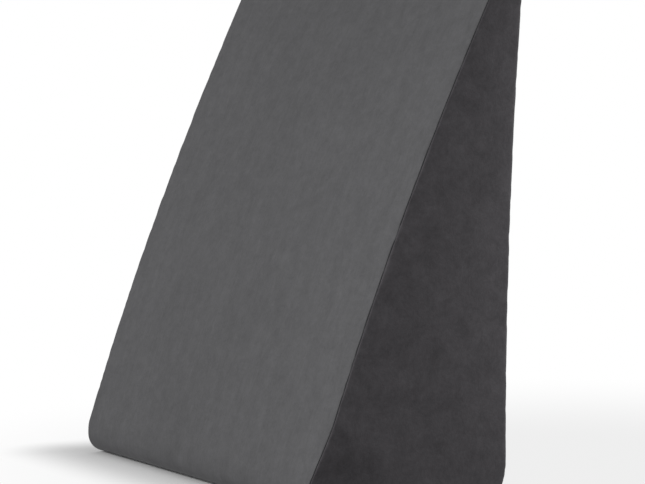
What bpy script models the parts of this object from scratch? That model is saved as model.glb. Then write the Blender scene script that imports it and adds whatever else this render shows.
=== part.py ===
"""Wedge pillow, standing on its thick end.

One filled velour pillow: a wrap panel that is the slanted face, base, back and thin tip, and two tall
triangular side panels sewn to it. X is the width, -Y is the slanted face, +Y the upright back, Z is up.
Metres. The origin is on the floor, under the middle of the pillow's box.
"""

import math

import bmesh
import bpy
from mathutils import Matrix, Vector

# Driving dimensions: a bed wedge of 24 x 24 x 10 inches
LENGTH = 0.610  # floor to tip, as it stands
WIDTH = 0.610  # seam to seam
BASE_DEPTH = 0.254
TIP_DEPTH = 0.025

# How the filled cover departs from a cut block
SLANT_BOW = 0.0090  # the slanted face stands out at half its length, its seams too
BACK_HOLLOW = 0.0020
TIP_LEAN = 0.0210  # the thin tip falls back
SLANT_CROWN = 0.0060  # between the two seams
BACK_CROWN = 0.0040
SIDE_CROWN = 0.0100

# Edges: how far a rounding reaches from its edge
BASE_FRONT_REACH = 0.043
BASE_BACK_REACH = 0.046
TIP_REACH = 0.012
SEAM_REACH = 0.009
SEAM_DEPTH = 0.0020  # the stitched line lies this deep under the rounded edge

# The lower corners of the side panels are drawn in: side, end of the depth, draw, reach
CORNER_DRAWS = (
    (1, 0, 0.018, 0.115),
    (1, 1, 0.002, 0.045),
    (-1, 0, 0.005, 0.045),
    (-1, 1, 0.008, 0.070),
)
CORNER_WIDTH = 0.090  # how far across the wrap panel a drawn-in corner is felt

# Slack cloth: gathers beside the seams, and broad unevenness of the filling
PUCKER_HEIGHT = 0.0011
PUCKER_LENGTH = 0.105
PUCKER_REACH = 0.050
PUCKER_WAVES = ((0.6, 1.0), (0.4, 1.7))  # each wave's share of the height, and how many fit in a length
UNEVEN_HEIGHT = 0.0012
UNEVEN_LENGTH = 0.260
SLANT_PHASE, BACK_PHASE, SIDE_PHASE, EDGE_PHASE = 1.0, 3.0, 2.0, 4.0  # each waves in its own rhythm
RIGHT_PHASE = 1.5  # added on the +X half

# Rows of the cage, as distances from its ends, and even steps between them
SEAM_ROWS = (0.004, 0.012, 0.036, 0.090, 0.180)
WIDTH_STEPS = 2
DEPTH_ROWS = (0.004, 0.014, 0.045)
DEPTH_STEPS = 2
ROW_SPREAD = 2.6  # evens out the rows across the depth towards the thin tip
BASE_ROWS = (0.008, 0.020, 0.036, 0.060)
TIP_ROWS = (0.005, 0.014)
LENGTH_STEPS = 15

VELOUR_GREY = (0.100, 0.100, 0.104, 1.0)
VELOUR_ROUGHNESS = 0.9


def slant_y(z):
    """The slanted face's seams, in profile."""
    share = z / LENGTH
    taper = (BASE_DEPTH - TIP_DEPTH) * share
    return -BASE_DEPTH / 2 + taper - SLANT_BOW * 4 * share * (1 - share) + TIP_LEAN * share**2


def back_y(z):
    """The back's seams, in profile."""
    share = z / LENGTH
    return BASE_DEPTH / 2 - BACK_HOLLOW * 4 * share * (1 - share) + TIP_LEAN * share**2


def slope(curve, z):
    """The direction up a profile line at height z, as a (y, z) unit vector."""
    step = LENGTH / 200
    low, high = max(0.0, z - step), min(LENGTH, z + step)
    return Vector((curve(high) - curve(low), high - low)).normalized()


def inward_normals(z):
    """The (y, z) directions from the slanted face, the back, the base and the tip into the pillow."""
    up_slant = slope(slant_y, z)
    up_back = slope(back_y, z)
    return (
        Vector((up_slant.y, -up_slant.x)),
        Vector((-up_back.y, up_back.x)),
        Vector((0.0, 1.0)),
        Vector((0.0, -1.0)),
    )


def profile_corners():
    """The profile's four corners: where each is, the two ways along its sides, and its reach."""
    forwards, backwards = Vector((-1.0, 0.0)), Vector((1.0, 0.0))
    return (
        (Vector((slant_y(0), 0)), backwards, slope(slant_y, 0), BASE_FRONT_REACH),
        (Vector((back_y(0), 0)), forwards, slope(back_y, 0), BASE_BACK_REACH),
        (Vector((slant_y(LENGTH), LENGTH)), backwards, -slope(slant_y, LENGTH), TIP_REACH),
        (Vector((back_y(LENGTH), LENGTH)), forwards, -slope(back_y, LENGTH), TIP_REACH),
    )


def rounding(distance, reach, half_angle=math.pi / 4):
    """How far an edge is drawn in at a distance from it, so that its two sides join without a crease."""
    return math.cos(half_angle) * reach / 2 * max(0.0, 1 - distance / reach) ** 2


def ease_corners(profile_point):
    """Draws the part of the profile near each corner in along the corner's middle line."""
    moved = profile_point.copy()
    for corner, one_way, other_way, reach in profile_corners():
        inward = (one_way + other_way).normalized()
        half_angle = one_way.angle(other_way) / 2
        moved += inward * rounding((profile_point - corner).length, reach, half_angle)
    return moved


def corner_draw(side, profile_point, from_side):
    """How far a place near a lower corner of a side panel is drawn towards the middle of the width."""
    draw = 0.0
    felt = max(0.0, 1 - from_side / CORNER_WIDTH) ** 2
    for corner_side, depth_end, most, reach in CORNER_DRAWS:
        corner = Vector(((slant_y(0), back_y(0))[depth_end], 0))
        share = min(1.0, (profile_point - corner).length / reach)
        if corner_side == side:
            draw += most * (1 - share**2) ** 2 * felt
    return draw


def pucker(along, from_seam, phase):
    """The uneven wave of slack cloth beside a seam, none on the stitches and none past its reach."""
    reached = min(1.0, from_seam / PUCKER_REACH)
    turn = math.tau * along / PUCKER_LENGTH
    wave = sum(share * math.sin(count * (turn + phase)) for share, count in PUCKER_WAVES)
    return PUCKER_HEIGHT * 4 * reached * (1 - reached) * wave


def unevenness(one, other, phase):
    """The broad unevenness of the filling over a panel."""
    turn = math.tau / UNEVEN_LENGTH
    return UNEVEN_HEIGHT * math.sin(turn * one + phase) * math.cos(turn * other + phase)


def panel_lift(across, depth_share, z):
    """How far the panels stand out from the straight block at a place: along the profile, and across."""
    fullness = math.sin(math.pi * z / LENGTH)
    from_side = WIDTH / 2 - abs(across)
    over_width = 1 - (2 * across / WIDTH) ** 2
    over_depth = 4 * depth_share * (1 - depth_share)
    depth = back_y(z) - slant_y(z)
    half_phase = RIGHT_PHASE if across > 0 else 0.0
    lift = 0.0
    for face_share, crown, phase in ((0, SLANT_CROWN, SLANT_PHASE), (1, BACK_CROWN, BACK_PHASE)):
        if depth_share == face_share:
            slack = pucker(z, from_side, phase + half_phase)
            lift = (crown + unevenness(across, z, phase)) * over_width + slack
    bulge = 0.0
    if from_side == 0:
        from_seam = min(depth_share, 1 - depth_share) * depth
        edge_phase = SIDE_PHASE if depth_share < 0.5 else EDGE_PHASE
        slack = pucker(z, from_seam, edge_phase + half_phase)
        uneven = unevenness(depth_share * depth, z, SIDE_PHASE + half_phase)
        bulge = (SIDE_CROWN * depth / BASE_DEPTH + uneven) * over_depth + slack
    return lift * fullness, bulge * fullness


def pillow_point(across, depth_share, z):
    """The pillow's point for a place in the cage: x, share of the depth from the slant, and height."""
    side = math.copysign(1.0, across)
    front, back = slant_y(z), back_y(z)
    y = front + (back - front) * depth_share
    flat_point = Vector((y, z))
    normals = inward_normals(z)
    distances = ((y - front) * normals[0].x, (y - back) * normals[1].x, z, LENGTH - z)
    from_side = WIDTH / 2 - abs(across)
    near = [max(0.0, 1 - distance / SEAM_REACH) for distance in distances]
    to_seam = max(near) * max(0.0, 1 - from_side / SEAM_REACH)
    lift, bulge = panel_lift(across, depth_share, z)
    face_normal = normals[1] if depth_share == 1 else normals[0]

    place = ease_corners(flat_point) - face_normal * lift
    x = across + side * (bulge - corner_draw(side, flat_point, from_side))
    if to_seam > 0:
        draw = rounding(SEAM_REACH * (1 - to_seam), SEAM_REACH)
        if to_seam == 1:
            draw += SEAM_DEPTH
        inward = sum((normal * share for normal, share in zip(normals, near)), Vector((0.0, 0.0)))
        place += inward.normalized() * draw / math.sqrt(2)
        x -= side * draw / math.sqrt(2)
    return Vector((x, place.x, place.y))


def rows(length, near_start, near_end, steps):
    """Places of the cage's rows from 0 to length: those near each end, and even steps between them."""
    first, last = near_start[-1], length - near_end[-1]
    middle = [first + (last - first) * step / steps for step in range(1, steps)]
    return [*near_start, *middle, *(length - place for place in reversed(near_end))]


def depth_share(place, row_shares, z):
    """A row's share of the depth at height z: as cut at the base, evened out where the pillow is thin."""
    cut_share = min(row_shares, key=lambda share: abs(share - place))
    even_share = row_shares.index(cut_share) / (len(row_shares) - 1)
    thinness = max(0.0, 1 - (back_y(z) - slant_y(z)) / BASE_DEPTH)
    return cut_share + (even_share - cut_share) * thinness**ROW_SPREAD


def cage():
    """A cube cut into rows, each point carried to its place on the pillow."""
    mesh = bmesh.new()
    bmesh.ops.create_cube(mesh, size=1.0)
    depth_rows = rows(BASE_DEPTH, DEPTH_ROWS, DEPTH_ROWS, DEPTH_STEPS)
    cuts = (
        (Vector((1, 0, 0)), WIDTH, rows(WIDTH, SEAM_ROWS, SEAM_ROWS, WIDTH_STEPS)),
        (Vector((0, 1, 0)), BASE_DEPTH, depth_rows),
        (Vector((0, 0, 1)), LENGTH, rows(LENGTH, BASE_ROWS, TIP_ROWS, LENGTH_STEPS)),
    )
    for axis, length, places in cuts:
        for place in places:
            geometry = [*mesh.verts, *mesh.edges, *mesh.faces]
            level = axis * (place / length - 0.5)
            bmesh.ops.bisect_plane(mesh, geom=geometry, plane_co=level, plane_no=axis)
    row_shares = [0.0, *(place / BASE_DEPTH for place in depth_rows), 1.0]
    for vert in mesh.verts:
        z = LENGTH * (vert.co.z + 0.5)
        share = depth_share(vert.co.y + 0.5, row_shares, z)
        vert.co = pillow_point(WIDTH * vert.co.x, share, z)
    return mesh


def stand_over_origin(pillow):
    """Moves the pillow's points so that the middle of its box is over the origin and its base on the floor."""
    bpy.context.view_layer.update()
    filled = pillow.evaluated_get(bpy.context.evaluated_depsgraph_get()).to_mesh()
    places = [vert.co.copy() for vert in filled.vertices]
    low = Vector([min(place[axis] for place in places) for axis in range(3)])
    high = Vector([max(place[axis] for place in places) for axis in range(3)])
    middle = (low + high) / 2
    pillow.data.transform(Matrix.Translation((-middle.x, -middle.y, -low.z)))


def velour():
    material = bpy.data.materials.new("velour")
    material.use_nodes = True
    shader = material.node_tree.nodes["Principled BSDF"]
    shader.inputs["Base Color"].default_value = VELOUR_GREY
    shader.inputs["Roughness"].default_value = VELOUR_ROUGHNESS
    shader.inputs["Metallic"].default_value = 0.0
    return material


def wedge_pillow(collection):
    """The filled pillow: its cage, rounded by one subdivision."""
    mesh = bpy.data.meshes.new("wedge_pillow")
    points = cage()
    points.to_mesh(mesh)
    points.free()
    mesh.materials.append(velour())
    mesh.shade_smooth()
    pillow = bpy.data.objects.new("wedge_pillow", mesh)
    collection.objects.link(pillow)
    filling = pillow.modifiers.new("filling", "SUBSURF")
    filling.levels = 1
    filling.render_levels = 1
    stand_over_origin(pillow)
    return pillow


def main():
    for old in list(bpy.data.objects):
        bpy.data.objects.remove(old, do_unlink=True)
    parts = bpy.data.collections.new("wedge_pillow")
    bpy.context.scene.collection.children.link(parts)
    wedge_pillow(parts)


main()
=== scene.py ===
"""The looks of the velour wedge pillow: its sewn cover, its finish and a plain studio.

Laid out as an add-on and run as a script: each operator makes one piece, and the sizes and colours are
properties in the sidebar. Metres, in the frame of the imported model: X is the width, -Y the slanted face,
+Y the upright back, Z is up, and the pillow stands on the floor over the origin.
"""

import math

import bmesh
import bpy
import numpy as np
from bpy.props import FloatProperty, FloatVectorProperty, IntProperty, PointerProperty
from bpy.types import Operator, Panel, PropertyGroup
from mathutils import Matrix, Vector
from mathutils.geometry import delaunay_2d_cdt


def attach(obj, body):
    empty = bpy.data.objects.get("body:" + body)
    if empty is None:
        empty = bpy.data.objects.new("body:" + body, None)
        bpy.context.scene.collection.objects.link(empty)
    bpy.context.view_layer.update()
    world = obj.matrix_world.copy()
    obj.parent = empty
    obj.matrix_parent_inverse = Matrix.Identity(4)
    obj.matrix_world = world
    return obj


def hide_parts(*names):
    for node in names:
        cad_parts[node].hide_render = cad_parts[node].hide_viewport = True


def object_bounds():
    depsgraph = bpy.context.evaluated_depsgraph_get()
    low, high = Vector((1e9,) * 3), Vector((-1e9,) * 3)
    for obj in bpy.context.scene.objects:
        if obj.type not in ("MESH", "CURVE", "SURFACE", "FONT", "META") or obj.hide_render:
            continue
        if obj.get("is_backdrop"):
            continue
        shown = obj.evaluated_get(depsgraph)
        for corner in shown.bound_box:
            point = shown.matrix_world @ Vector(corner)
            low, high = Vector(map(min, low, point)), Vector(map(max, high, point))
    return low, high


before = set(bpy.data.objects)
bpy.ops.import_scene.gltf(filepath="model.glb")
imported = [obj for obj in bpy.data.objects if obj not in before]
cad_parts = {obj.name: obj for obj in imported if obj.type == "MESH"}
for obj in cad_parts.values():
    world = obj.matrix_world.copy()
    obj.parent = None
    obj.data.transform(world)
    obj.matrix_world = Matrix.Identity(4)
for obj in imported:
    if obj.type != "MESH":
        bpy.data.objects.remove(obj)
CAD_LOW, CAD_HIGH = (Vector(corner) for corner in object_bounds())
CAD_NODE = "wedge_pillow"

bl_info = {
    "name": "Velour wedge pillow",
    "version": (1, 0, 0),
    "blender": (4, 5, 0),
    "location": "3D View > Sidebar > Wedge Pillow",
    "description": "A bed wedge pillow in brushed grey velour, standing in a plain studio",
    "category": "Object",
}

# The photograph's frame, and the full-frame sensor that the camera stands for
PHOTO_WIDTH = 645
SENSOR_WIDTH = 36.0

# Rows of cloth beside a seam, as distances from it, and further rows on the wrap panel
SEAM_ROWS = (0.0004, 0.0008, 0.0013, 0.0019, 0.0027, 0.0038, 0.0054, 0.0078)
WRAP_ROWS = (0.0108, 0.0148, 0.0200)
SEAM_SPACING = 0.0025  # between points along a seam
WRAP_SPACING = 0.0080  # between rows across the wrap panel
SIDE_SPACING = 0.0055  # between points on a side panel
TIP_CROWDING = 0.8  # points are this much closer round the corners of the thin tip
PROFILE_SAMPLES = 1200  # points of each side of the profile before they are spaced out
MIDDLE_FOOT = 0.42  # height where a side panel's middle line starts, as a share of the base's depth
BORDER_GAP = 0.6  # clear of a side panel's border, in spacings of its points
MERGE_DISTANCE = 1e-7

# Slack cloth beside the seams: height, length along the seam and reach away from it of each set of gathers
GATHERS = ((0.0011, 0.105, 0.050), (0.0005, 0.037, 0.026))
GATHER_WAVES = ((0.6, 1.0), (0.4, 1.7))
SLANT_PHASE, BACK_PHASE, SIDE_PHASE, EDGE_PHASE = 1.0, 3.0, 2.0, 4.0
RIGHT_PHASE = 1.5  # added on the +X half
UNEVEN_HEIGHT = 0.0012
UNEVEN_LENGTH = 0.260

# Creases that the stitches pinch: how many beside each seam, and the ranges of their sizes
CREASE_COUNT = 150
CREASE_DEPTHS = (0.0001, 0.0005)
CREASE_WIDTHS = (0.0022, 0.0060)
CREASE_LENGTHS = (0.007, 0.026)
CREASE_SLANTS = (-0.5, 0.5)
WRAP_SEED, SIDE_SEED = 10, 20  # the left half's are one less, and the right half's one more

# The lower corners of the side panels are drawn in: side, the corner's y, draw, reach
CORNER_DRAWS = (
    (1, -0.127, 0.018, 0.115),
    (1, 0.127, 0.002, 0.045),
    (-1, -0.127, 0.005, 0.045),
    (-1, 0.127, 0.008, 0.070),
)
CORNER_WIDTH = 0.090

# Patches of stroked pile: their (x, y, z) sizes, and how much they vary the tone
WRAP_STROKES = (((0.022, 0.016, 0.016), 0.75), ((0.040, 0.150, 0.150), 0.50))
SIDE_STROKES = (((0.034, 0.034, 0.034), 1.40),)
NOISE_MIDDLE = 0.5
STROKE_RELIEF = 0.03  # height of the relief, as a share of the smallest size of the patches
# Painted highlight: the wrap's colour is made lighter towards both side seams in place of the sheen there; the
# side panels get none
SEAM_PAINTED_HIGHLIGHTS = (1.08, 1.0)  # how light the wrap and the side panels are near the sides of the pillow
SEAM_HIGHLIGHT_START, SEAM_HIGHLIGHT_END = 0.08, 0.30  # from the middle of the width

# The floor's tone where the camera sees it and where it lights the pillow
FLOOR_SEEN_TONE, FLOOR_LIGHTING_TONE = 0.95, 0.35
FLOOR_HALF_WIDTH = 30.0
# The shadow fades to white between these distances from the pillow's footprint
FADE_START, FADE_END = 0.01, 0.12
FADE_BACK_CUT = 0.10  # this much of the footprint's depth at the back doesn't count for the fade
# A faint shade is painted into the floor's white behind the pillow: its middle, its tone there, and where it
# starts and stops fading
SHADE_MIDDLE = (0.10, 0.35, 0.0)
SHADE_TONE = 0.86
SHADE_START, SHADE_END = 0.25, 0.95

KEY_LIGHT_SIZE, KEY_LIGHT_PLACE = 0.5, Vector((0.22, -1.60, 0.75))
BACK_LIGHT_SIZE, BACK_LIGHT_PLACE = 0.6, Vector((0.85, 2.10, 0.60))
CAMERA_REACH = 100.0


def size_property(name, description, default):
    return FloatProperty(
        name=name, description=description, default=default, min=0.0, precision=4, unit="LENGTH"
    )


class PillowSizes(PropertyGroup):
    """The pillow's sizes: those of its solid, with finer seams."""

    length: size_property("Length", "Floor to thin tip", 0.610)
    width: size_property("Width", "Seam to seam", 0.610)
    base_depth: size_property("Base depth", "Thickness of the thick end", 0.254)
    tip_depth: size_property("Tip depth", "Thickness of the thin end", 0.025)
    slant_bow: size_property("Slant bow", "How far the slanted seams stand out at half length", 0.0090)
    back_hollow: size_property("Back hollow", "How far the back's seams fall in at half length", 0.0020)
    tip_lean: size_property("Tip lean", "How far the thin tip falls back", 0.0210)
    slant_crown: size_property("Slant crown", "Swell of the slanted face between its seams", 0.0060)
    back_crown: size_property("Back crown", "Swell of the back between its seams", 0.0040)
    side_crown: size_property("Side crown", "Swell of the side panels", 0.0100)
    base_front_reach: size_property("Base front reach", "Length of the rounding under the slant", 0.043)
    base_back_reach: size_property("Base back reach", "Length of the rounding under the back", 0.046)
    tip_reach: size_property("Tip reach", "Length of the roundings of the thin tip", 0.012)
    seam_reach: size_property("Seam reach", "Length of the rounding beside a seam", 0.0045)
    seam_depth: size_property("Seam depth", "Depth of the stitched groove", 0.0014)
    seam_width: size_property("Seam width", "Half width of the stitched groove", 0.0016)


class VelourFinish(PropertyGroup):
    """The velour's colour and pile."""

    wrap_colour: FloatVectorProperty(
        name="Wrap colour",
        description="Colour of the long panel",
        subtype="COLOR",
        size=3,
        default=(0.094, 0.0935, 0.097),
    )
    # The side panels' colour has their own faint warm tint, and is darker than the wrap's partly as painted
    # shade for the panels facing away from the key light
    side_colour_and_shade: FloatVectorProperty(
        name="Side colour",
        description="Colour of the side panels, whose pile lies the other way",
        subtype="COLOR",
        size=3,
        default=(0.081, 0.0763, 0.0824),
    )
    roughness: FloatProperty(name="Roughness", description="Roughness of the pile", default=0.85, min=0, max=1)
    sheen: FloatProperty(name="Sheen", description="Strength of the soft sheen", default=0.12, min=0, max=1)
    relief: FloatProperty(name="Relief", description="Strength of the pile's relief", default=0.4, min=0, max=1)


class StudioSettings(PropertyGroup):
    """The photograph's viewing angle and light."""

    azimuth: FloatProperty(
        name="Azimuth", description="Camera's direction", subtype="ANGLE", default=math.radians(63.0796)
    )
    elevation: FloatProperty(
        name="Elevation", description="Camera's height angle", subtype="ANGLE", default=math.radians(4.5103)
    )
    distance: FloatProperty(name="Distance", description="Camera to pillow", default=4.6744, unit="LENGTH")
    turn: FloatProperty(
        name="Turn", description="Camera's turn off the middle", subtype="ANGLE", default=math.radians(-0.4)
    )
    tilt: FloatProperty(
        name="Tilt", description="Camera's tilt off the middle", subtype="ANGLE", default=math.radians(0.3491)
    )
    focal_pixels: IntProperty(name="Focal length", description="In the photograph's pixels", default=4000)
    room_light: FloatProperty(name="Room light", description="Light from all round", default=0.40)
    key_light: FloatProperty(name="Key light", description="Watts of the soft light in front", default=17.0)
    back_light: FloatProperty(name="Back light", description="Watts of the soft light behind", default=32.0)


def hump(share):
    """Rises from 0 at both ends to 1 in the middle."""
    return 4 * share * (1 - share)


def seam_lines(sizes, z):
    """The y of the slanted face's seams and of the back's seams at height z."""
    share = z / sizes.length
    lean = sizes.tip_lean * share**2
    taper = (sizes.base_depth - sizes.tip_depth) * share
    slant = -sizes.base_depth / 2 + taper - sizes.slant_bow * hump(share) + lean
    back = sizes.base_depth / 2 - sizes.back_hollow * hump(share) + lean
    return slant, back


def rounding(distance, reach, half_angle=math.pi / 4):
    """How far an edge is drawn in at a distance from it, so that its two sides join without a crease."""
    return math.cos(half_angle) * reach / 2 * np.clip(1 - distance / reach, 0, None) ** 2


def unit(vectors):
    return vectors / np.linalg.norm(vectors, axis=-1, keepdims=True)


def sharp_profile(sizes):
    """The four sides of the profile in turn, as (y, z) points: base, slanted face, tip and back."""
    up = np.linspace(0, 1, PROFILE_SAMPLES, endpoint=False)
    slant_tip, back_tip = seam_lines(sizes, sizes.length)
    base = np.stack([sizes.base_depth * (0.5 - up), 0 * up], -1)
    slant = np.stack([seam_lines(sizes, up * sizes.length)[0], up * sizes.length], -1)
    tip = np.stack([slant_tip + (back_tip - slant_tip) * up, 0 * up + sizes.length], -1)
    heights = sizes.length * (1 - up)
    back = np.stack([seam_lines(sizes, heights)[1], heights], -1)
    return base, slant, tip, back


def seam_line(sizes):
    """The profile with rounded corners: its points, the ways into it, their distances and its length."""
    sides = sharp_profile(sizes)
    reaches = (sizes.base_front_reach, sizes.tip_reach, sizes.tip_reach, sizes.base_back_reach)
    sharp = np.concatenate(sides)
    rounded = sharp.copy()
    crowding = np.ones(len(sharp))
    for number, reach in enumerate(reaches):
        before, after = sides[number], sides[(number + 1) % 4]
        corner = after[0]
        one_way, other_way = unit(before[-2] - corner), unit(after[1] - corner)
        half_angle = math.acos(float(one_way @ other_way)) / 2
        away = np.linalg.norm(sharp - corner, axis=1)
        rounded += unit(one_way + other_way) * rounding(away, reach, half_angle)[:, None]
        crowding += TIP_CROWDING * np.exp(-((away / reach) ** 2)) * (reach == sizes.tip_reach)
    closed = np.concatenate([rounded, rounded[:1]])
    steps = np.linalg.norm(np.diff(closed, axis=0), axis=1)
    crowded = np.concatenate([[0], np.cumsum(steps * crowding)])
    evened = np.concatenate([[0], np.cumsum(steps)])
    places = np.linspace(0, crowded[-1], round(crowded[-1] / SEAM_SPACING), endpoint=False)
    outline = np.stack([np.interp(places, crowded, closed[:, axis]) for axis in (0, 1)], -1)
    tangent = unit(np.roll(outline, -1, axis=0) - np.roll(outline, 1, axis=0))
    inward = np.stack([tangent[:, 1], -tangent[:, 0]], -1)
    return outline, inward, np.interp(places, crowded, evened), evened[-1]


def gathers(along, from_seam, phase):
    """The uneven waves of slack cloth beside a seam, none on the stitches and none past their reach."""
    lift = 0.0
    for height, length, reach in GATHERS:
        reached = np.clip(from_seam / reach, 0, 1)
        turn = math.tau * along / length
        wave = sum(share * np.sin(count * (turn + phase)) for share, count in GATHER_WAVES)
        lift = lift + height * hump(reached) * wave
    return lift


def creases(along, from_seam, total, seed):
    """Short creases that run from the stitches into the cloth beside a seam of a total length."""
    chance = np.random.default_rng(seed)
    lift = np.zeros(len(along))
    for _ in range(CREASE_COUNT):
        start = chance.uniform(0, total)
        depth = chance.uniform(*CREASE_DEPTHS)
        width = chance.uniform(*CREASE_WIDTHS)
        reach = chance.uniform(*CREASE_LENGTHS)
        slant = chance.uniform(*CREASE_SLANTS)
        off = (along - start - slant * from_seam + total / 2) % total - total / 2
        lift -= depth * np.exp(-((off / width) ** 2)) * np.clip(1 - from_seam / reach, 0, 1) ** 2
    return lift


def unevenness(one, other, phase):
    """The broad unevenness of the filling over a panel."""
    turn = math.tau / UNEVEN_LENGTH
    return UNEVEN_HEIGHT * np.sin(turn * one + phase) * np.cos(turn * other + phase)


def corner_draw(side, places, from_side):
    """How far places near a side panel's lower corners are drawn towards the middle of the width."""
    draw = np.zeros(len(places))
    felt = max(0.0, 1 - from_side / CORNER_WIDTH) ** 2
    for corner_side, corner_y, most, reach in CORNER_DRAWS:
        if corner_side == side:
            share = np.clip(np.hypot(places[:, 0] - corner_y, places[:, 1]) / reach, 0, 1)
            draw += most * (1 - share**2) ** 2 * felt
    return draw


def side_bulge(sizes, side, places):
    """How far a side panel stands out at (y, z) places."""
    slant, back = seam_lines(sizes, places[:, 1])
    depth = back - slant
    share = np.clip((places[:, 0] - slant) / depth, 0, 1)
    from_seam = np.minimum(share, 1 - share) * depth
    half_phase = RIGHT_PHASE if side > 0 else 0.0
    slack = np.where(
        share < 0.5,
        gathers(places[:, 1], from_seam, SIDE_PHASE + half_phase),
        gathers(places[:, 1], from_seam, EDGE_PHASE + half_phase),
    )
    uneven = unevenness(share * depth, places[:, 1], SIDE_PHASE + half_phase)
    crown = (sizes.side_crown * depth / sizes.base_depth + uneven) * hump(share)
    return (crown + slack) * np.sin(math.pi * np.clip(places[:, 1] / sizes.length, 0, 1))


def wrap_lift(sizes, side, places, inward, from_side):
    """How far the wrap panel stands out along its outline, at a distance from a side panel."""
    over_width = 1 - (1 - 2 * from_side / sizes.width) ** 2
    across = side * (sizes.width / 2 - from_side)
    half_phase = RIGHT_PHASE if side > 0 else 0.0
    z = places[:, 1]
    slant = (sizes.slant_crown + unevenness(across, z, SLANT_PHASE)) * over_width
    slant = slant + gathers(z, from_side, SLANT_PHASE + half_phase)
    back = (sizes.back_crown + unevenness(across, z, BACK_PHASE)) * over_width
    back = back + gathers(z, from_side, BACK_PHASE + half_phase)
    return np.where(inward[:, 0] > 0, slant, back) * np.sin(math.pi * np.clip(z / sizes.length, 0, 1))


def seam_draw(sizes, from_seam):
    """How far cloth beside a seam is drawn in: over the rounded edge, and down into the stitched groove."""
    groove = sizes.seam_depth * np.clip(1 - from_seam / sizes.seam_width, 0, None) ** 2
    return (rounding(from_seam, sizes.seam_reach) + groove) / math.sqrt(2)


def wrap_ring(sizes, side, line, from_side):
    """The ring of the wrap panel's points at a distance from a side panel."""
    outline, inward, along, total = line
    draw = seam_draw(sizes, from_side)
    lift = wrap_lift(sizes, side, outline, inward, from_side)
    lift += creases(along, np.full(len(along), from_side), total, WRAP_SEED + side)
    place = outline + inward * (draw - lift)[:, None]
    x = sizes.width / 2 - from_side - draw - corner_draw(side, outline, from_side)
    return np.column_stack([side * x, place])


def side_points(sizes, side, places, inward, along, from_seam, total):
    """Points of a side panel at (y, z) places, each at a distance from the seam."""
    draw = seam_draw(sizes, from_seam)
    lift = side_bulge(sizes, side, places) + creases(along, from_seam, total, SIDE_SEED + side)
    x = sizes.width / 2 + lift - draw - corner_draw(side, places, 0.0)
    return np.column_stack([side * x, places + inward * draw[:, None]])


def wrap_rows(sizes):
    """The rows of cloth across the wrap panel, as distances from the left seam."""
    near = (0.0, *SEAM_ROWS, *WRAP_ROWS)
    steps = round((sizes.width - 2 * near[-1]) / WRAP_SPACING)
    across = np.linspace(near[-1], sizes.width - near[-1], steps + 1)
    return [*near[:-1], *across, *(sizes.width - row for row in reversed(near[:-1]))]


def cover_shape(sizes):
    """The cover's points and its faces, with 0 for each face of the wrap and 1 for one of a side panel."""
    line = seam_line(sizes)
    outline, inward, along, total = line
    count = len(outline)
    rows = wrap_rows(sizes)
    points = []
    for row in rows:
        side = 1 if row > sizes.width / 2 else -1
        points.append(wrap_ring(sizes, side, line, min(row, sizes.width - row)))
    rings = [list(range(number * count, (number + 1) * count)) for number in range(len(rows))]
    faces = band_faces(rings)
    kinds = [0] * len(faces)
    made = count * len(rows)

    reach = middle_line(sizes, outline) - outline
    straight_in = (reach * inward).sum(1)
    border = outline + reach * (SEAM_ROWS[-1] / straight_in)[:, None]
    filling, triangles = panel_filling(border)
    away = np.linalg.norm(filling[:, None] - outline[None], axis=2)
    nearest = away.argmin(1)
    for side, seam in ((-1, rings[0]), (1, rings[-1])):
        side_rings = [seam]
        for row in SEAM_ROWS:
            places = outline + reach * (row / straight_in)[:, None]
            from_seam = np.full(count, row)
            points.append(side_points(sizes, side, places, inward, along, from_seam, total))
            side_rings.append(list(range(made, made + count)))
            made += count
        points.append(
            side_points(sizes, side, filling, inward[nearest], along[nearest], away.min(1), total)
        )
        known = [*side_rings[-1], *range(made, made + len(filling))]
        made += len(filling)
        side_faces = band_faces(side_rings) + [[known[corner] for corner in face] for face in triangles]
        faces += side_faces
        kinds += [1] * len(side_faces)
    return np.concatenate(points), faces, kinds


def middle_line(sizes, places):
    """The nearest (y, z) points on the line up the middle of the profile, for places on its outline."""
    z = np.clip(places[:, 1], MIDDLE_FOOT * sizes.base_depth, sizes.length - sizes.tip_depth / 2)
    slant, back = seam_lines(sizes, z)
    return np.column_stack([(slant + back) / 2, z])


def band_faces(rings):
    """The four-sided faces between each closed ring of point numbers and the next."""
    faces = []
    for one, other in zip(rings, rings[1:]):
        for number in range(len(one)):
            faces.append([one[number - 1], one[number], other[number], other[number - 1]])
    return faces


def panel_filling(border):
    """Evenly spread (y, z) points inside a closed border, and the triangles that join them and the border."""
    low, high = border.min(0), border.max(0)
    height = SIDE_SPACING * math.sqrt(3) / 2
    inside = []
    for row, z in enumerate(np.arange(low[1] + height, high[1], height)):
        crossings = border_crossings(border, z)
        for y in np.arange(low[0] + SIDE_SPACING / 2 * (row % 2), high[0], SIDE_SPACING):
            if crossings[0] < y < crossings[1]:
                inside.append((y, z))
    inside = np.array(inside)
    nearest = np.array([np.hypot(*(border - place).T).min() for place in inside])
    inside = inside[nearest > SIDE_SPACING * BORDER_GAP]
    numbers = range(len(border))
    edges = [(number - 1) % len(border) for number in numbers]
    corners = [Vector(place) for place in (*border, *inside)]
    joined = delaunay_2d_cdt(corners, list(zip(edges, numbers)), [], 1, MERGE_DISTANCE)
    _, _, triangles, origins, _, _ = joined
    return inside, [[origins[corner][0] for corner in face] for face in triangles]


def border_crossings(border, z):
    """Where a level line enters and leaves a closed border."""
    after = np.roll(border, -1, axis=0)
    crossed = (border[:, 1] > z) != (after[:, 1] > z)
    share = (z - border[crossed, 1]) / (after[crossed, 1] - border[crossed, 1])
    found = border[crossed, 0] + share * (after[crossed, 0] - border[crossed, 0])
    return found.min(), found.max()


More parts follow.
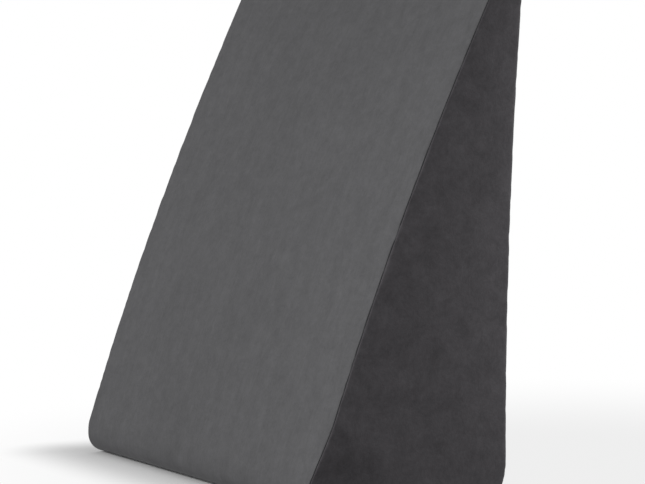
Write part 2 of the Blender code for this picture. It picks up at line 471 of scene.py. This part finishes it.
def mesh_object(name, points, faces, kinds, materials):
    """A closed mesh with its normals outside, stood over the origin in the solid's box."""
    mesh = bpy.data.meshes.new(name)
    low, high = points.min(0), points.max(0)
    middle = (CAD_LOW + CAD_HIGH) / 2 - Vector((low + high) / 2)
    moved = points + np.array([middle.x, middle.y, -low[2]])
    mesh.from_pydata(moved.tolist(), [], faces)
    for material in materials:
        mesh.materials.append(material)
    mesh.polygons.foreach_set("material_index", kinds)
    built = bmesh.new()
    built.from_mesh(mesh)
    bmesh.ops.recalc_face_normals(built, faces=built.faces)
    built.to_mesh(mesh)
    built.free()
    mesh.shade_smooth()
    made = bpy.data.objects.new(name, mesh)
    bpy.context.scene.collection.objects.link(made)
    return made


def add_node(tree, kind, inputs=(), **settings):
    """A node with its settings, and values or links for the inputs named or numbered."""
    node = tree.nodes.new(kind)
    for name, value in settings.items():
        setattr(node, name, value)
    for name, value in dict(inputs).items():
        if isinstance(value, bpy.types.NodeSocket):
            tree.links.new(value, node.inputs[name])
        else:
            node.inputs[name].default_value = value
    return node


def new_group(name, sockets):
    """A shader node group with its sockets made, and the nodes that stand for its inputs and outputs."""
    group = bpy.data.node_groups.new(name, "ShaderNodeTree")
    for direction, socket_name, kind, default in sockets:
        socket = group.interface.new_socket(socket_name, in_out=direction, socket_type=kind)
        if default is not None:
            socket.default_value = default
    return group, group.nodes.new("NodeGroupInput"), group.nodes.new("NodeGroupOutput")


def brushed_pile_group():
    """Patches where the pile was stroked different ways, as varied at every size: a colour and a height."""
    sockets = (
        ("INPUT", "Place", "NodeSocketVector", None),
        ("INPUT", "Colour", "NodeSocketColor", (0.1, 0.1, 0.1, 1.0)),
        ("INPUT", "Depth", "NodeSocketFloat", 0.1),
        ("OUTPUT", "Colour", "NodeSocketColor", None),
        ("OUTPUT", "Height", "NodeSocketFloat", None),
    )
    group, given, put_out = new_group("brushed pile", sockets)
    patches = add_node(
        group,
        "ShaderNodeTexNoise",
        {"Vector": given.outputs["Place"], "Scale": 1.0, "Detail": 5.0, "Roughness": 0.95, "Distortion": 0.2},
    )
    height = patches.outputs["Fac"]
    off = add_node(group, "ShaderNodeMath", {0: height, 1: NOISE_MIDDLE}, operation="SUBTRACT")
    varied = {0: off.outputs[0], 1: given.outputs["Depth"]}
    depth = add_node(group, "ShaderNodeMath", varied, operation="MULTIPLY")
    tone = add_node(group, "ShaderNodeMath", {0: depth.outputs[0], 1: 1.0}, operation="ADD")
    scaled = {0: given.outputs["Colour"], "Scale": tone.outputs[0]}
    toned = add_node(group, "ShaderNodeVectorMath", scaled, operation="SCALE")
    group.links.new(toned.outputs[0], put_out.inputs["Colour"])
    group.links.new(height, put_out.inputs["Height"])
    return group


def stroked(tree, place, colour, size, depth):
    """The brushed pile in a material, with patches of an (x, y, z) size: its colour and height sockets."""
    scaled = add_node(tree, "ShaderNodeMapping", {"Vector": place, "Scale": [1 / length for length in size]})
    pile = add_node(
        tree,
        "ShaderNodeGroup",
        {"Place": scaled.outputs[0], "Colour": colour, "Depth": depth},
        node_tree=bpy.data.node_groups["brushed pile"],
    )
    return pile.outputs["Colour"], pile.outputs["Height"]


def velour(name, finish, colour, strokes, painted_highlight):
    """Velour with strokes, each the size and depth of a set of patches, and with a painted highlight that
    lightens its colour towards the sides.
    """
    material = bpy.data.materials.new(name)
    material.use_nodes = True
    tree = material.node_tree
    shader = tree.nodes["Principled BSDF"]
    place = add_node(tree, "ShaderNodeTexCoord").outputs["Object"]
    parts = add_node(tree, "ShaderNodeSeparateXYZ", {0: place})
    # Painted highlight: the colour is lightened from the middle of the width towards the side seams
    across = add_node(tree, "ShaderNodeMath", {0: parts.outputs[0]}, operation="ABSOLUTE")
    highlight_ramp = add_node(
        tree,
        "ShaderNodeMapRange",
        {
            "Value": across.outputs[0],
            "From Min": SEAM_HIGHLIGHT_START,
            "From Max": SEAM_HIGHLIGHT_END,
            "To Min": 1.0,
            "To Max": painted_highlight,
        },
        interpolation_type="SMOOTHSTEP",
    )
    toned = add_node(
        tree, "ShaderNodeVectorMath", {0: tuple(colour), "Scale": highlight_ramp.outputs[0]}, operation="SCALE"
    )
    socket = toned.outputs[0]
    normal = None
    for size, depth in strokes:
        socket, height = stroked(tree, place, socket, size, depth)
        relief = {"Height": height, "Distance": min(size) * STROKE_RELIEF, "Strength": finish.relief}
        bump = add_node(tree, "ShaderNodeBump", relief)
        if normal is not None:
            tree.links.new(normal, bump.inputs["Normal"])
        normal = bump.outputs[0]
    tree.links.new(socket, shader.inputs["Base Color"])
    tree.links.new(normal, shader.inputs["Normal"])
    shader.inputs["Roughness"].default_value = finish.roughness
    shader.inputs["Specular IOR Level"].default_value = 0.2
    shader.inputs["Sheen Weight"].default_value = finish.sheen
    shader.inputs["Sheen Roughness"].default_value = 0.45
    shader.inputs["Sheen Tint"].default_value = (0.9, 0.9, 0.92, 1.0)
    return material


class PILLOW_OT_cover(Operator):
    """Make the sewn velour cover"""

    bl_idname = "pillow.cover"
    bl_label = "Pillow Cover"

    def execute(self, context):
        sizes = context.scene.pillow_sizes
        finish = context.scene.pillow_finish
        brushed_pile_group()
        # The wrap gets the painted highlight near its seams, the side panels none
        wrap_highlight, side_highlight = SEAM_PAINTED_HIGHLIGHTS
        wrap = velour("wrap velour", finish, finish.wrap_colour, WRAP_STROKES, wrap_highlight)
        # The side velour's darker colour is partly painted shade
        side = velour("side velour", finish, finish.side_colour_and_shade, SIDE_STROKES, side_highlight)
        points, faces, kinds = cover_shape(sizes)
        cover = mesh_object("pillow_cover", points, faces, kinds, (wrap, side))
        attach(cover, "root")
        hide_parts(CAD_NODE)
        return {"FINISHED"}


def floor_material(sizes):
    """Matt white, which fades to pure white away from the pillow and throws little light back up, with a faint
    shade painted into that white behind the pillow.
    """
    material = bpy.data.materials.new("studio floor")
    material.use_nodes = True
    tree = material.node_tree
    shader = tree.nodes["Principled BSDF"]
    output = tree.nodes["Material Output"]
    seen = add_node(tree, "ShaderNodeLightPath").outputs["Is Camera Ray"]
    tones = {"Value": seen, "To Min": FLOOR_LIGHTING_TONE, "To Max": FLOOR_SEEN_TONE}
    tone = add_node(tree, "ShaderNodeMapRange", tones)
    tree.links.new(tone.outputs[0], shader.inputs["Base Color"])
    shader.inputs["Roughness"].default_value = 0.9
    shader.inputs["Specular IOR Level"].default_value = 0.1
    place = add_node(tree, "ShaderNodeTexCoord").outputs["Object"]
    behind = add_node(tree, "ShaderNodeVectorMath", {0: place, 1: SHADE_MIDDLE}, operation="DISTANCE")
    # Painted shade: the floor's glowing white is dimmed around a spot behind the pillow
    soft_shade = add_node(
        tree,
        "ShaderNodeMapRange",
        {
            "Value": behind.outputs["Value"],
            "From Min": SHADE_START,
            "From Max": SHADE_END,
            "To Min": SHADE_TONE,
            "To Max": 1.0,
        },
        interpolation_type="SMOOTHSTEP",
    )
    white = add_node(
        tree, "ShaderNodeEmission", {"Color": (1.0, 1.0, 1.0, 1.0), "Strength": soft_shade.outputs[0]}
    )
    shift = (0.0, FADE_BACK_CUT / 2, 0.0)
    moved = add_node(tree, "ShaderNodeVectorMath", {0: place, 1: shift}, operation="ADD")
    level = add_node(tree, "ShaderNodeVectorMath", {0: moved.outputs[0]}, operation="ABSOLUTE")
    half = (sizes.width / 2, (sizes.base_depth - FADE_BACK_CUT) / 2, 0.0)
    past = add_node(tree, "ShaderNodeVectorMath", {0: level.outputs[0], 1: half}, operation="SUBTRACT")
    outside = add_node(tree, "ShaderNodeVectorMath", {0: past.outputs[0], 1: (0, 0, 0)}, operation="MAXIMUM")
    away = add_node(tree, "ShaderNodeVectorMath", {0: outside.outputs[0]}, operation="LENGTH")
    fade = add_node(
        tree,
        "ShaderNodeMapRange",
        {"Value": away.outputs["Value"], "From Min": FADE_START, "From Max": FADE_END},
        interpolation_type="SMOOTHSTEP",
    )
    share = add_node(tree, "ShaderNodeMath", {0: fade.outputs[0], 1: seen}, operation="MULTIPLY")
    faded = {0: share.outputs[0], 1: shader.outputs[0], 2: white.outputs[0]}
    mixed = add_node(tree, "ShaderNodeMixShader", faded)
    tree.links.new(mixed.outputs[0], output.inputs["Surface"])
    return material


def white_room(scene, strength):
    """A white world: pure white where the camera sees it, softer where it lights the pillow."""
    world = bpy.data.worlds.new("white room")
    scene.world = world
    world.use_nodes = True
    tree = world.node_tree
    background = tree.nodes["Background"]
    background.inputs["Color"].default_value = (1.0, 1.0, 1.0, 1.0)
    seen = add_node(tree, "ShaderNodeLightPath").outputs["Is Camera Ray"]
    light = add_node(
        tree, "ShaderNodeMapRange", {"Value": seen, "To Min": strength, "To Max": 1.0}, clamp=True
    )
    tree.links.new(light.outputs[0], background.inputs["Strength"])


def direction(azimuth, elevation):
    """The way from the pillow towards a place at an azimuth from the front and an elevation."""
    level = math.cos(elevation)
    return Vector((math.sin(azimuth) * level, -math.cos(azimuth) * level, math.sin(elevation)))


def aimed(location, way):
    """A camera's or light's place and turn, looking along a way."""
    return Matrix.Translation(location) @ way.to_track_quat("-Z", "Y").to_matrix().to_4x4()


def soft_light(name, watts, size, location, target):
    data = bpy.data.lights.new(name, "AREA")
    data.energy = watts
    data.size = size
    light = bpy.data.objects.new(name, data)
    light.matrix_world = aimed(location, target - location)
    bpy.context.scene.collection.objects.link(light)


class PILLOW_OT_studio(Operator):
    """Make the floor, the light and the camera"""

    bl_idname = "pillow.studio"
    bl_label = "Studio"

    def execute(self, context):
        scene = context.scene
        studio = scene.pillow_studio
        scene.view_settings.view_transform = "Standard"
        white_room(scene, studio.room_light)
        mesh = bpy.data.meshes.new("studio_floor")
        half = FLOOR_HALF_WIDTH
        corners = [(-half, -half, 0), (half, -half, 0), (half, half, 0), (-half, half, 0)]
        mesh.from_pydata(corners, [], [(0, 1, 2, 3)])
        mesh.materials.append(floor_material(scene.pillow_sizes))
        floor = bpy.data.objects.new("studio_floor", mesh)
        scene.collection.objects.link(floor)
        floor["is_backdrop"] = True
        middle = Vector((0, 0, scene.pillow_sizes.length / 2))
        soft_light("key light", studio.key_light, KEY_LIGHT_SIZE, KEY_LIGHT_PLACE, middle)
        soft_light("back light", studio.back_light, BACK_LIGHT_SIZE, BACK_LIGHT_PLACE, middle)

        data = bpy.data.cameras.new("camera")
        data.sensor_width = SENSOR_WIDTH
        data.lens = studio.focal_pixels * SENSOR_WIDTH / PHOTO_WIDTH
        data.clip_end = CAMERA_REACH
        camera = bpy.data.objects.new("camera", data)
        eye = middle + direction(studio.azimuth, studio.elevation) * studio.distance
        look = -direction(studio.azimuth + studio.turn, studio.elevation + studio.tilt)
        camera.matrix_world = aimed(eye, look)
        scene.collection.objects.link(camera)
        scene.camera = camera
        return {"FINISHED"}


class PILLOW_PT_sidebar(Panel):
    """Sizes and colours of the pillow, and buttons that make its pieces"""

    bl_idname = "PILLOW_PT_sidebar"
    bl_label = "Wedge Pillow"
    bl_space_type = "VIEW_3D"
    bl_region_type = "UI"
    bl_category = "Wedge Pillow"

    def draw(self, context):
        scene = context.scene
        for settings in (scene.pillow_sizes, scene.pillow_finish, scene.pillow_studio):
            box = self.layout.box()
            for name in settings.__annotations__:
                box.prop(settings, name)
        for operator in (PILLOW_OT_cover, PILLOW_OT_studio):
            self.layout.operator(operator.bl_idname)


CLASSES = (PillowSizes, VelourFinish, StudioSettings, PILLOW_OT_cover, PILLOW_OT_studio, PILLOW_PT_sidebar)


def register():
    for added in CLASSES:
        bpy.utils.register_class(added)
    bpy.types.Scene.pillow_sizes = PointerProperty(type=PillowSizes)
    bpy.types.Scene.pillow_finish = PointerProperty(type=VelourFinish)
    bpy.types.Scene.pillow_studio = PointerProperty(type=StudioSettings)


def unregister():
    del bpy.types.Scene.pillow_sizes
    del bpy.types.Scene.pillow_finish
    del bpy.types.Scene.pillow_studio
    for added in reversed(CLASSES):
        bpy.utils.unregister_class(added)


def main():
    register()
    bpy.ops.pillow.cover()
    bpy.ops.pillow.studio()
    bpy.context.view_layer.update()


if __name__ == "__main__":
    main()
